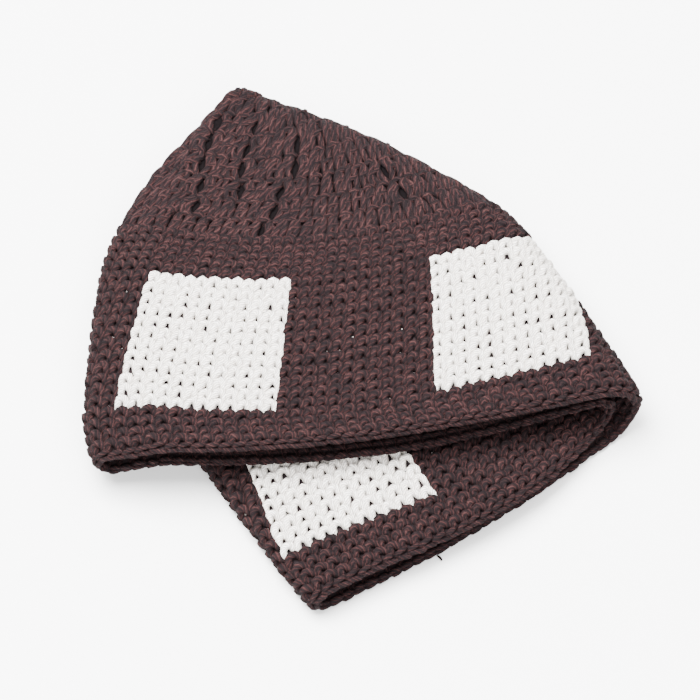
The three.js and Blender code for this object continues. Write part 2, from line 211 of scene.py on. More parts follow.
@dataclass
class FoldedFabric:
    """Middle surface of the folded cap.

    A place on it is a turn and a way. The turn's whole part is the layer and the rest is the
    share of that layer's row. A column, counted in stitches, is turned into a turn by turn_of.
    """

    width: float = 175.0
    depth: float = 184.0
    wall: float = 2.8
    edge_width: float = 3.6
    row_height: float = 3.8
    tall_row_height: float = 7.0
    rows_below_squares: int = 4
    rows_of_squares: int = 12
    rows_above_squares: int = 5
    tall_rows: int = 8
    stitches: int = 144
    lower_pocket: float = 6.0
    upper_pocket: float = 7.0
    layer_gap: float = 1.6
    inner_fold_inset: float = 7.4
    inner_fold_spread: float = 3.0
    spread_start: float = 0.55
    side_drop: float = 7.0
    row_bend: float = 11.4
    top_skew: float = 0.85
    second_skew: float = 1.4
    narrowest_angle: float = 0.42
    turn_share: float = 0.94
    shift: np.ndarray = field(default_factory=lambda: np.zeros(3))

    @property
    def squares_start(self) -> float:
        """Length from the rim to the lowest row of the squares."""
        return self.edge_width + self.rows_below_squares * self.row_height

    @property
    def squares_end(self) -> float:
        """Length from the rim to the end of the squares."""
        return self.squares_start + self.rows_of_squares * self.row_height

    @property
    def crown_start(self) -> float:
        """Length from the rim to the first tall row."""
        return self.squares_end + self.rows_above_squares * self.row_height

    @property
    def length(self) -> float:
        """Length of the fabric from the rim to the tip."""
        return self.crown_start + self.tall_rows * self.tall_row_height

    def _outline(self, name: str, way: np.ndarray) -> np.ndarray:
        """Point of a bend's outline seen from above."""
        x = OUTLINE.value(f"{name}_x", way) * self.width
        y = OUTLINE.value(f"{name}_y", way) * self.depth
        return np.stack([x, y], -1)

    def _crossing(self, name: str, direction: np.ndarray, way: np.ndarray) -> np.ndarray:
        """Sine of the angle between a row's direction and a bend's outline."""
        high = self._outline(name, np.minimum(way + WAY_STEP, 1.0))
        low = self._outline(name, np.maximum(way - WAY_STEP, 0.0))
        along = unit(high - low)
        sine = np.abs(along[..., 0] * direction[..., 1] - along[..., 1] * direction[..., 0])
        return np.maximum(sine, self.narrowest_angle)

    def _stretch(self, layer: Layer, way: np.ndarray) -> Stretch:
        """The layer of the rows at the given ways, between its two bends."""
        left, fold, right = (self._outline(name, way) for name in ("left", "fold", "right"))
        upper_row = fold - left
        upper_width = np.linalg.norm(upper_row, axis=-1)
        upper = unit(upper_row)
        lower = unit(fold - right)
        skin = self.wall / 2
        left, fold, right = left + upper * skin, fold - upper * skin, right + lower * skin
        inset = STACK.value("inset", way) * self.inner_fold_inset / self._crossing("fold", upper, way)
        inner = fold - upper * np.minimum(inset, upper_width / 2)[..., None]
        bottom = skin + 0.0 * way
        second = bottom + self.wall + self.lower_pocket * STACK.value("lower", way)
        third = second + self.wall + self.layer_gap * STACK.value("gap", way)
        top = third + self.wall + self.upper_pocket * STACK.value("upper", way)
        spread = self.inner_fold_spread * STACK.value("spread", way)
        left_bend = Bend("left", left, (top + third) / 2)
        outer_bend = Bend("fold", fold, (top + bottom) / 2)
        right_bend = Bend("right", right, (bottom + second) / 2)
        inner_bend = Bend("fold", inner, (second + third) / 2)
        flat = 0.0 * way
        plan = {
            Layer.TOP: (left_bend, outer_bend, top, flat, "top", self.top_skew),
            Layer.BOTTOM: (outer_bend, right_bend, bottom, flat, "bottom", 1.0),
            Layer.SECOND: (right_bend, inner_bend, second, -spread, "second", self.second_skew),
            Layer.THIRD: (inner_bend, left_bend, third, spread, "third", 1.0),
        }
        start, end, height, rise, name, skew = plan[layer]
        return Stretch(start, end, height, rise, ROW_BENDS.value(name, way) * self.row_bend, skew)

    def _height(self, layer: Layer, stretch: Stretch, part: np.ndarray) -> np.ndarray:
        """Height of a layer, which rises or sinks near the inner fold."""
        from_inner = part if layer is Layer.THIRD else 1 - part
        return stretch.height + stretch.rise * (1 - ease(from_inner / (1 - self.spread_start)))

    def _lay(self, layer: Layer, share: np.ndarray, way: np.ndarray) -> np.ndarray:
        """Middle of the wall on one layer.

        A row is a quarter of an ellipse out of its first bend, a flat stretch that sags towards
        the rim by a half wave, and a quarter of an ellipse into its last bend.
        """
        stretch = self._stretch(layer, way)
        chord = stretch.end.place - stretch.start.place
        width = np.linalg.norm(chord, axis=-1)
        direction = unit(chord)
        ends = []
        for bend, part in ((stretch.start, 0.0), (stretch.end, 1.0)):
            radius = np.abs(self._height(layer, stretch, part + 0.0 * way) - bend.height)
            ends.append((radius, radius / self._crossing(bend.outline, direction, way)))
        tight = np.minimum(width * self.turn_share / (ends[0][1] + ends[1][1]), 1.0)
        reach = [end[1] * tight for end in ends]
        arc = [math.pi / 2 * np.sqrt((a * a + end[0] ** 2) / 2) for a, end in zip(reach, ends)]
        whole = arc[0] + width - reach[0] - reach[1] + arc[1]
        travelled = share * whole
        first, last = travelled < arc[0], whole - travelled < arc[1]
        angle = np.where(first, travelled / arc[0], np.where(last, (whole - travelled) / arc[1], 1.0))
        angle = np.clip(angle, 0.0, 1.0) * math.pi / 2
        across = reach[0] + travelled - arc[0]
        across = np.where(first, reach[0] * (1 - np.cos(angle)), across)
        across = np.where(last, width - reach[1] * (1 - np.cos(angle)), across)
        turned = np.sin(angle)
        bend_height = np.where(last, stretch.end.height, stretch.start.height)
        part = across / width
        height = self._height(layer, stretch, part) * turned + bend_height * (1 - turned)
        rimward = np.stack([direction[..., 1], -direction[..., 0]], -1)
        rimward = rimward * np.sign(direction[..., 0])[..., None]
        sag = stretch.bend * np.sin(math.pi * np.maximum(part, 0.0) ** stretch.skew)
        place = stretch.start.place + direction * across[..., None] + rimward * sag[..., None]
        if layer in (Layer.TOP, Layer.THIRD):
            from_left = part if layer is Layer.TOP else 1 - part
            drop = self.side_drop * STACK.value("drop", way)
            height = height - drop * (1 - ease(from_left / STACK.value("overhang", way)))
        return np.concatenate([place, height[..., None]], -1)

    def place(self, turn: np.ndarray, way: np.ndarray) -> np.ndarray:
        """Middle of the wall at turns and ways.

        Args:
            turn: Layer and share, any number: it wraps round after 4.
            way: Share of the fabric's length from the rim.

        Returns:
            Places in millimetres, one more axis than the arguments.
        """
        turn, way = np.broadcast_arrays(np.mod(turn, 4.0), np.clip(way, 0.0, 1.0))
        places = np.empty(turn.shape + (3,))
        for layer in Layer:
            here = np.minimum(np.floor(turn), 3) == layer.value
            if here.any():
                places[here] = self._lay(layer, turn[here] - layer.value, way[here])
        return places + self.shift

    def place_and_normal(self, turn: np.ndarray, way: np.ndarray) -> tuple[np.ndarray, np.ndarray]:
        """Middle of the wall and the fabric's outward direction there."""
        way = np.clip(way, 0.0, 1.0)
        round_way = self.place(turn + TURN_STEP, way) - self.place(turn - TURN_STEP, way)
        crownward = self.place(turn, way + WAY_STEP) - self.place(turn, way - WAY_STEP)
        return self.place(turn, way), unit(np.cross(round_way, crownward))

    def turn_of(self, column: np.ndarray, way: np.ndarray) -> np.ndarray:
        """Turn at which a column, counted in stitches, crosses a way."""
        column, way = np.broadcast_arrays(column, np.clip(way, 0.0, 1.0))
        left = CREASES.value("left", way)
        edges = [left] + [CREASES.value(name, way) for name in ("fold", "right", "inner")]
        edges.append(left + self.stitches)
        wrapped = left + np.mod(column - left, self.stitches)
        turn = np.zeros(column.shape)
        for index in range(4):
            low, high = edges[index], edges[index + 1]
            here = (wrapped >= low) & (wrapped < high)
            turn = np.where(here, index + (wrapped - low) / (high - low), turn)
        return turn

    def centre_on_frame(self) -> None:
        """Moves the surface so that the box of its skin stands where the frame's box stands."""
        turn, way = np.meshgrid(np.linspace(0, 4, TURN_SAMPLES), np.linspace(0, 1, WAY_SAMPLES))
        place, normal = self.place_and_normal(turn, way)
        skin = place + normal * self.wall / 2
        low, high = (Vector(corner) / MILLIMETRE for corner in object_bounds())
        middle = (skin.min((0, 1)) + skin.max((0, 1))) / 2
        self.shift = np.array([(low.x + high.x) / 2 - middle[0], (low.y + high.y) / 2 - middle[1], 0.0])


@dataclass
class Strands:
    """Centre lines of pieces of yarn: n strands of k points, in millimetres."""

    centres: np.ndarray
    normals: np.ndarray
    radii: np.ndarray
    tones: np.ndarray
    sides: int = 6
    twist: float = 1.0


@dataclass
class YarnMesh:
    """Tubes of yarn gathered in one mesh, with a UV map that runs round and along each strand."""

    verts: list[np.ndarray] = field(default_factory=list)
    quads: list[np.ndarray] = field(default_factory=list)
    uvs: list[np.ndarray] = field(default_factory=list)
    tones: list[np.ndarray] = field(default_factory=list)
    count: int = 0
    tip_share: float = 0.35

    def add(self, strands: Strands) -> None:
        """Adds tubes: a ring round each centre, spanned by the fabric's normal and the sideways
        direction, and two ends drawn in and closed.

        Args:
            strands: The centre lines.
        """
        centres = strands.centres
        n, k = centres.shape[:2]
        m = strands.sides
        tangents = unit(np.gradient(centres, axis=1))
        normals = strands.normals - tangents * (strands.normals * tangents).sum(-1, keepdims=True)
        normals = unit(normals)
        sideways = unit(np.cross(tangents, normals))
        radii = np.broadcast_to(strands.radii, (n, k)).copy()
        radii[:, [0, -1]] *= self.tip_share
        angle = np.arange(m) * 2 * math.pi / m
        ring = sideways[:, :, None] * np.cos(angle)[:, None]
        ring = ring + normals[:, :, None] * np.sin(angle)[:, None]
        verts = centres[:, :, None] + ring * radii[:, :, None, None]
        verts[..., 2] = np.maximum(verts[..., 2], 0.0)
        index = self.count + np.arange(n * k * m).reshape(n, k, m)
        after = np.roll(index, -1, axis=2)
        body = np.stack([index[:, :-1], index[:, 1:], after[:, 1:], after[:, :-1]], -1)
        steps = np.linalg.norm(np.diff(centres, axis=1), axis=-1)
        along = np.concatenate([np.zeros((n, 1)), np.cumsum(steps, axis=1)], 1)
        along = along * strands.twist + (strands.tones * TONE_SHIFT)[:, None]
        uv = np.zeros(body.shape + (2,))
        uv[..., 0] = (np.arange(m)[:, None] + np.array([0, 0, 1, 1])) / m
        uv[:, :, :, [0, 3], 1] = along[:, :-1, None, None]
        uv[:, :, :, [1, 2], 1] = along[:, 1:, None, None]
        self.quads.append(body.reshape(-1, 4))
        self.uvs.append(uv.reshape(-1, 4, 2))
        for end, order in ((index[:, 0], 1), (index[:, -1], -1)):
            for q in range(m // 2 - 1):
                cap = np.stack([end[:, 0], end[:, 2 * q + 1], end[:, 2 * q + 2], end[:, 2 * q + 3]], -1)
                self.quads.append(cap[:, ::order])
                self.uvs.append(np.zeros((n, 4, 2)))
        self.verts.append(verts.reshape(-1, 3))
        self.tones.append(np.repeat(strands.tones, k * m))
        self.count += n * k * m

    def finish(self, name: str, finish: "Finish", nodes: tuple[str, ...]) -> bpy.types.Object:
        """Makes the piece.

        Args:
            name: The piece's name.
            finish: What it is made of.
            nodes: CAD nodes that it stands for.

        Returns:
            The piece, riding on the cap.
        """
        verts = np.concatenate(self.verts)
        quads, uvs = np.concatenate(self.quads), np.concatenate(self.uvs)
        mesh = mesh_from_quads(name, verts, quads)
        layer = mesh.uv_layers.new(name="UVMap")
        layer.data.foreach_set("uv", uvs.astype(np.float32).ravel())
        tone = mesh.attributes.new("tone", "FLOAT", "POINT")
        tone.data.foreach_set("value", np.concatenate(self.tones).astype(np.float32))
        return place_piece(name, mesh, finish, nodes)


def mesh_from_quads(name: str, verts: np.ndarray, quads: np.ndarray) -> bpy.types.Mesh:
    """Makes a smooth mesh.

    Args:
        name: The mesh's name.
        verts: Places in millimetres, (n, 3).
        quads: Corners, (m, 4).

    Returns:
        The mesh, in metres.
    """
    mesh = bpy.data.meshes.new(name)
    mesh.vertices.add(len(verts))
    mesh.vertices.foreach_set("co", (verts * MILLIMETRE).astype(np.float32).ravel())
    mesh.loops.add(quads.size)
    mesh.loops.foreach_set("vertex_index", quads.astype(np.int32).ravel())
    mesh.polygons.add(len(quads))
    mesh.polygons.foreach_set("loop_start", np.arange(0, quads.size, 4, dtype=np.int32))
    mesh.polygons.foreach_set("use_smooth", np.ones(len(quads), dtype=bool))
    mesh.update(calc_edges=True)
    mesh.validate()
    return mesh


def place_piece(
    name: str, mesh: bpy.types.Mesh, finish: "Finish", nodes: tuple[str, ...]
) -> bpy.types.Object:
    """Puts a mesh into the scene as a piece of the cap.

    Args:
        name: The piece's name.
        mesh: Its mesh, in metres.
        finish: What it is made of.
        nodes: CAD nodes that it stands for.

    Returns:
        The piece.
    """
    mesh.materials.append(finish.material())
    piece = bpy.data.objects.new(name, mesh)
    bpy.context.scene.collection.objects.link(piece)
    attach(piece, "root")
    if nodes:
        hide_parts(*nodes)
    LOG.info("%s: %d faces", name, len(mesh.polygons))
    return piece


class Signal:
    """A shader socket that takes part in Python arithmetic, each step being one Math node."""

    def __init__(self, graph: "ShaderGraph", socket: bpy.types.NodeSocket) -> None:
        """Keeps the socket and the graph that it belongs to."""
        self.graph = graph
        self.socket = socket

    def math(self, operation: str, *others: "Signal | float") -> "Signal":
        """A Math node with this signal first."""
        return self.graph.math(operation, self, *others)

    def __add__(self, other: "Signal | float") -> "Signal":
        """Sum."""
        return self.math("ADD", other)

    def __radd__(self, other: float) -> "Signal":
        """Sum with a number first."""
        return self.math("ADD", other)

    def __sub__(self, other: "Signal | float") -> "Signal":
        """Difference."""
        return self.math("SUBTRACT", other)

    def __rsub__(self, other: float) -> "Signal":
        """Difference with a number first."""
        return self.graph.math("SUBTRACT", other, self)

    def __mul__(self, other: "Signal | float") -> "Signal":
        """Product."""
        return self.math("MULTIPLY", other)

    def __rmul__(self, other: float) -> "Signal":
        """Product with a number first."""
        return self.math("MULTIPLY", other)


class ShaderGraph:
    """The node tree of one material."""

    def __init__(self, name: str) -> None:
        """Starts a material with a Principled surface and its output."""
        self.material = bpy.data.materials.new(name)
        self.material.use_nodes = True
        self.tree = self.material.node_tree
        self.tree.nodes.clear()
        self.surface = self.node("ShaderNodeBsdfPrincipled", {}, {})
        self.node("ShaderNodeOutputMaterial", {}, {"Surface": self.surface.outputs["BSDF"]})

    def node(self, kind: str, settings: dict, inputs: dict) -> bpy.types.Node:
        """Adds a node.

        Args:
            kind: The node's type.
            settings: Its properties, and under "stops" a ramp's places and colours.
            inputs: Values or links of its sockets.

        Returns:
            The node.
        """
        node = self.tree.nodes.new(kind)
        for key, value in settings.items():
            if key == "stops":
                elements = node.color_ramp.elements
                while len(elements) < len(value):
                    elements.new(1.0)
                for element, (position, colour) in zip(elements, value):
                    element.position = position
                    element.color = (*colour, 1.0)
            else:
                setattr(node, key, value)
        for key, value in inputs.items():
            self.feed(node.inputs[key], value)
        return node

    def feed(self, socket: bpy.types.NodeSocket, value: object) -> None:
        """Links a signal or socket to an input, or sets the input's value."""
        source = value.socket if isinstance(value, Signal) else value
        if isinstance(source, bpy.types.NodeSocket):
            self.tree.links.new(source, socket)
        else:
            socket.default_value = source

    def math(self, operation: str, *values: Signal | float) -> Signal:
        """A Math node."""
        inputs = dict(enumerate(values))
        return Signal(self, self.node("ShaderNodeMath", {"operation": operation}, inputs).outputs[0])

    def noise(self, vector: bpy.types.NodeSocket, scale: float, detail: float) -> Signal:
        """Noise between 0 and 1 on a vector."""
        inputs = {"Vector": vector, "Scale": scale, "Detail": detail}
        return Signal(self, self.node("ShaderNodeTexNoise", {}, inputs).outputs[0])

    def mix(self, factor: Signal, first: object, second: object) -> bpy.types.NodeSocket:
        """A blend of two colours."""
        node = self.node("ShaderNodeMix", {"data_type": "RGBA"}, {"Factor": factor})
        colours_in = [socket for socket in node.inputs if socket.type == "RGBA"]
        for socket, value in zip(colours_in, (first, second)):
            colour = (*value, 1.0) if isinstance(value, tuple) else value
            self.feed(socket, colour)
        return next(socket for socket in node.outputs if socket.type == "RGBA")

    def bump(self, height: Signal, distance: float, strength: float) -> None:
        """Feeds a height to the surface's normal."""
        inputs = {"Height": height, "Distance": distance, "Strength": strength}
        node = self.node("ShaderNodeBump", {}, inputs)
        self.feed(self.surface.inputs["Normal"], node.outputs["Normal"])


@dataclass(frozen=True)
class Finish:
    """What a piece is made of."""

    name: str
    slot: str
    roughness: float

    def material(self) -> bpy.types.Material:
        """The finish's material, made once."""
        made = bpy.data.materials.get(self.name)
        if made is None:
            graph = ShaderGraph(self.name)
            graph.surface.inputs["Roughness"].default_value = self.roughness
            graph.surface.inputs["Specular IOR Level"].default_value = DRY_SPECULAR
            self.paint(graph)
            made = graph.material
        return made

    def paint(self, graph: ShaderGraph) -> None:
        """Adds the finish's own nodes."""


@dataclass(frozen=True)
class PliedYarn(Finish):
    """Yarn twisted from thin plies: slanting ridges, each ply with a colour of its own, and painted shade
    that darkens the grooves between the plies.
    """

    stops: tuple[tuple[float, tuple[float, float, float]], ...]
    # Colour of the painted shade in the grooves between the plies.
    groove_shade: tuple[float, float, float]
    plies: int = 10
    pitch: float = 6.5
    # How far the painted groove shade darkens the base colour.
    groove_shade_share: float = 0.55
    fullness: float = 1.0
    cloud: float = 0.25
    bump_height: float = 0.00015
    wobble: float = 1.5
    speckle_relief: float = 0.8
    lump_relief: float = 1.6

    def paint(self, graph: ShaderGraph) -> None:
        """The ply's number is the whole part of round·plies + along·plies/pitch, plus a wobble;
        its height is a half wave of the rest. The fraction of the golden share times the ply,
        which differs much from one ply to the next, picks its colour from the stops."""
        uv = graph.node("ShaderNodeUVMap", {"uv_map": "UVMap"}, {}).outputs["UV"]
        parts = graph.node("ShaderNodeSeparateXYZ", {}, {"Vector": uv})
        around, along = (Signal(graph, parts.outputs[axis]) for axis in ("X", "Y"))
        tone = graph.node("ShaderNodeAttribute", {"attribute_name": "tone"}, {}).outputs["Fac"]
        tone = Signal(graph, tone)
        coordinates = graph.node("ShaderNodeTexCoord", {}, {}).outputs["Object"]
        waver = graph.noise(coordinates, 900.0, 2.0)
        phase = around * self.plies + along * (self.plies / self.pitch) + waver * self.wobble
        ply = phase.math("FLOOR").math("FLOORED_MODULO", float(self.plies))
        pick = (ply * GOLDEN_SHARE + tone).math("FRACT")
        speckle = graph.noise(coordinates, 2600.0, 2.0)
        clouds = graph.noise(coordinates, 90.0, 2.0)
        choice = pick + (speckle - 0.5) * 1.0 + (clouds - 0.5) * self.cloud
        settings = {"stops": self.stops}
        ramp = graph.node("ShaderNodeValToRGB", settings, {"Fac": choice}).outputs["Color"]
        ridge = (phase.math("FRACT") * math.pi).math("SINE")
        # Painted shade: the base colour is mixed towards the groove colour where the ridge falls off
        # between plies.
        depth = (1 - ridge) * self.groove_shade_share
        colour = graph.mix(depth, ramp, self.groove_shade)
        graph.feed(graph.surface.inputs["Base Color"], colour)
        lumps = graph.noise(coordinates, 1000.0, 2.0)
        relief = ridge + speckle * self.speckle_relief + lumps * self.lump_relief
        graph.bump(relief, self.bump_height, 1.0)


@dataclass(frozen=True)
class FeltedCore(Finish):
    """The inside of the fabric, seen only between the loops: matted dark fibre; behind the crown it is near
    black, as painted shade.
    """

    dark: tuple[float, float, float]
    light: tuple[float, float, float]

    def paint(self, graph: ShaderGraph) -> None:
        """Two colours mixed by fine noise, which is the relief as well."""
        coordinates = graph.node("ShaderNodeTexCoord", {}, {}).outputs["Object"]
        fibre = graph.noise(coordinates, 1600.0, 4.0)
        graph.feed(graph.surface.inputs["Base Color"], graph.mix(fibre, self.dark, self.light))
        graph.bump(fibre, 0.0003, 0.8)


@dataclass(frozen=True)
class PaleFloor(Finish):
    """A smooth white surface with a trace of unevenness."""

    colour: tuple[float, float, float]
    cloud_share: float = 0.985

    def paint(self, graph: ShaderGraph) -> None:
        """A nearly even white, with broad faint clouds."""
        coordinates = graph.node("ShaderNodeTexCoord", {}, {}).outputs["Object"]
        clouds = graph.noise(coordinates, 3.0, 1.0)
        shade = tuple(self.cloud_share * channel for channel in self.colour)
        graph.feed(graph.surface.inputs["Base Color"], graph.mix(clouds, self.colour, shade))


BROWN_YARN = PliedYarn(
    name="marled_brown_yarn",
    slot="brown_yarn",
    roughness=0.95,
    stops=(
        (0.0, (0.0060, 0.0043, 0.0049)),
        (0.35, (0.0100, 0.0065, 0.0070)),
        (0.55, (0.0149, 0.0085, 0.0089)),
        (0.70, (0.0221, 0.0099, 0.0101)),
        (0.88, (0.0302, 0.0122, 0.0122)),
        (1.0, (0.0400, 0.0180, 0.0173)),
    ),
    # Painted shade in the grooves between the plies.
    groove_shade=(0.0036, 0.0027, 0.0031),
    groove_shade_share=0.75,
    fullness=1.24,
)
WHITE_YARN = PliedYarn(
    name="off_white_yarn",
    slot="white_yarn",
    roughness=0.9,
    stops=((0.0, (0.78, 0.725, 0.67)), (0.5, (0.91, 0.855, 0.80)), (1.0, (0.97, 0.935, 0.895))),
    # Painted shade in the grooves between the plies.
    groove_shade=(0.22, 0.195, 0.175),
    groove_shade_share=0.70,
    plies=7,
    pitch=6.0,
    cloud=0.1,
    bump_height=0.0003,
    fullness=1.12,
)
BROWN_CORE = FeltedCore("brown_core", "brown_yarn", 1.0, (0.008, 0.006, 0.0068), (0.018, 0.0125, 0.0135))
# Near-black core behind the crown: painted shade seen through the eyelets and between the posts.
CROWN_SHADE_CORE = FeltedCore("painted_crown_shade_core", "brown_yarn", 1.0, (0.001, 0.0008, 0.001), (0.004, 0.0027, 0.003))
FLOOR_FINISH = PaleFloor("pale_floor", "floor", 0.7, (0.95, 0.95, 0.95))


@dataclass(frozen=True)
class Loop:
    """One strand of a stitch: across in stitches, along in rows, height and radius in millimetres."""

    across: tuple[float, ...]
    along: tuple[float, ...]
    height: tuple[float, ...]
    radius: tuple[float, ...]


LOW_LOOP = Loop(
    across=(-0.48, -0.44, -0.37, -0.32, -0.20, 0.0, 0.20, 0.32, 0.37, 0.43, 0.47),
    along=(-0.68, -0.42, -0.12, 0.14, 0.34, 0.42, 0.34, 0.14, -0.12, -0.42, -0.70),
    height=(-0.75, -0.05, 0.58, 1.03, 1.36, 1.46, 1.36, 1.03, 0.58, -0.05, -0.75),
    radius=(0.70, 0.92, 1.05, 1.12, 1.14, 1.14, 1.14, 1.12, 1.05, 0.92, 0.70),
)
INNER_LOOP = Loop(
    across=(-0.55, -0.30, 0.0, 0.30, 0.55),
    along=(-0.18, 0.10, 0.22, 0.10, -0.18),
    height=(0.35, 0.75, 0.95, 0.75, 0.35),
    radius=(0.70, 0.95, 1.05, 0.95, 0.70),
)
CHAIN_UPPER = Loop(
    across=(-0.58, -0.40, -0.10, 0.22, 0.48, 0.70),
    along=(0.62, 0.68, 0.79, 0.88, 0.92, 0.87),
    height=(0.55, 0.95, 1.35, 1.55, 1.55, 1.00),
    radius=(0.45, 0.74, 0.90, 0.90, 0.78, 0.50),
)
CHAIN_LOWER = replace(
    CHAIN_UPPER,
    along=(0.62, 0.55, 0.45, 0.37, 0.34, 0.39),
    height=(0.55, 0.55, 0.25, 0.0, -0.10, 0.10),
)
CHAIN_BACK = Loop(
    across=(-0.6, -0.2, 0.2, 0.6),
    along=(0.55, 0.62, 0.62, 0.55),
    height=(-0.7, -0.85, -0.85, -0.7),
    radius=(0.7, 0.9, 0.9, 0.7),
)
POST_LEFT = Loop(
    across=(-0.20, -0.23, -0.23, -0.21, -0.17, -0.08, 0.0),
    along=(-0.66, -0.40, -0.12, 0.14, 0.34, 0.52, 0.70),
    height=(0.25, 0.80, 1.05, 1.10, 1.05, 0.90, 0.40),
    radius=(1.00, 1.24, 1.32, 1.32, 1.28, 1.16, 0.90),
)
POST_RIGHT = replace(
    POST_LEFT,
    across=(0.20, 0.24, 0.25, 0.22, 0.17, 0.08, 0.02),
    height=(0.20, 0.75, 0.98, 1.00, 0.95, 0.80, 0.30),
)
POST_WRAP = Loop(
    across=(-0.50, -0.30, 0.0, 0.30, 0.50),
    along=(-0.06, 0.0, 0.06, 0.12, 0.20),
    height=(0.30, 1.25, 1.60, 1.30, 0.35),
    radius=(0.60, 0.88, 0.98, 0.88, 0.60),
)
POST_TOP = Loop(
    across=(-0.66, -0.32, 0.0, 0.30, 0.64),
    along=(-0.54, -0.47, -0.41, -0.45, -0.52),
    height=(0.50, 1.00, 1.20, 1.00, 0.50),
    radius=(0.80, 1.05, 1.15, 1.05, 0.80),
)
POST_LOOPS = (POST_LEFT, POST_RIGHT, POST_WRAP, POST_TOP)


@dataclass
class StitchLayer:
    """Lays the strands of stitches on the folded fabric.

    The floats are the spreads by which stitches differ: sway and jitter in stitches and rows,
    the others as shares.
    """

    fabric: FoldedFabric
    seed: int
    sway: float = 0.035
    jitter: float = 0.02
    broadening: float = 0.12
    stretching: float = 0.05
    lift: float = 0.06
    swelling: float = 0.04

    def __post_init__(self) -> None:
        """Starts the random numbers."""
        self.random = np.random.default_rng(self.seed)

    def lay(
        self, loop: Loop, columns: np.ndarray, lengths: np.ndarray, pitch: float, face: Face
    ) -> Strands:
        """Strands at columns and lengths from the rim.

        Args:
            loop: The strand of one stitch.
            columns: Stitch numbers, (n,).
            lengths: Lengths from the rim to the stitches' middles, (n,).
            pitch: Row height.
            face: The face of the fabric that they lie on.

        Returns:
            The strands.
        """
        n = len(columns)
        draw = self.random.normal
        shape = (n, len(loop.across))
        across = np.array(loop.across) * (1 + draw(0, self.broadening, (n, 1)))
        across = across + draw(0, self.sway, (n, 1)) + draw(0, self.jitter, shape)
        along = np.array(loop.along) * (1 + draw(0, self.stretching, (n, 1)))
        along = along + draw(0, self.sway, (n, 1)) + draw(0, self.jitter, shape)
        height = np.array(loop.height) * (1 + draw(0, self.lift, (n, 1))) * face.value
        radius = np.array(loop.radius) * (1 + draw(0, self.swelling, (n, 1)))
        way = (lengths[:, None] + along * pitch) / self.fabric.length
        turn = self.fabric.turn_of(columns[:, None] + across, way)
        place, normal = self.fabric.place_and_normal(turn, way)
        centres = place + normal * height[..., None]
        return Strands(centres, normal, radius, self.random.random(n))


@dataclass
class LowStitches:
    """Rows of low stitches between two columns and two lengths, on both faces of the fabric."""

    name: str
    finish: PliedYarn
    layer: StitchLayer
    first_column: float
    columns: int
    start: float
    rows: int

    def build(self) -> bpy.types.Object:
        """Lays the rows' loops, the outer ones as full as the yarn says, and makes the piece."""
        pitch = self.layer.fabric.row_height
        column, row = np.meshgrid(np.arange(self.columns), np.arange(self.rows))
        columns = self.first_column + column.ravel() + 0.5
        lengths = self.start + (row.ravel() + 0.5) * pitch
        yarn = YarnMesh()
        loops = self.layer.lay(LOW_LOOP, columns, lengths, pitch, Face.OUTER)
        loops.radii = loops.radii * self.finish.fullness
        yarn.add(loops)
        yarn.add(self.layer.lay(INNER_LOOP, columns, lengths, pitch, Face.INNER))
        return yarn.finish(self.name, self.finish, (self.name.replace("_stitches", ""),))


@dataclass
class RimChain:
    """The chain edge: a row of sideways chain stitches along the rim, and the yarn's loose end."""

    layer: StitchLayer
    tail_column: float = 60.1
    tail_length: float = 1.8
    tail_radius: float = 0.38
    tail_root: float = 0.6
    tail_points: int = 6
    tail_aside: tuple[float, float, float] = (0.9, -0.4, 0.0)
    inside_way: float = 0.03

    def _tail(self) -> Strands:
        """The loose end of the yarn, which sticks out of the rim and lies on the floor."""
        fabric = self.layer.fabric
        turn = fabric.turn_of(np.array([self.tail_column]), np.array([0.0]))
        root = fabric.place(turn, np.array([0.0]))
        inside = fabric.place(turn, np.array([self.inside_way]))
        outwards = unit((root - inside) * np.array([1.0, 1.0, 0.0]))
        t = np.linspace(0, 1, self.tail_points)[:, None]
        aside = np.array(self.tail_aside) * np.sin(math.pi * t) * self.tail_radius * 2
        centres = root + outwards * (t * (self.tail_length + self.tail_root) - self.tail_root) + aside
        centres[:, 2] = self.tail_radius
        normals = np.broadcast_to(np.array([0.0, 0.0, 1.0]), (1, self.tail_points, 3))
        radii = np.full((1, self.tail_points), self.tail_radius)
        return Strands(centres[None], normals, radii, np.array([0.4]))

    def build(self) -> bpy.types.Object:
        """Lays two strands for each chain stitch and one behind them, and the loose end."""
        fabric = self.layer.fabric
        columns = np.arange(fabric.stitches) + 0.5
        lengths = np.zeros(fabric.stitches)
        yarn = YarnMesh()
        for loop in (CHAIN_UPPER, CHAIN_LOWER, CHAIN_BACK):
            yarn.add(self.layer.lay(loop, columns, lengths, fabric.edge_width, Face.OUTER))
        yarn.add(self._tail())
        return yarn.finish("chain_edge_stitches", BROWN_YARN, ("chain_edge",))


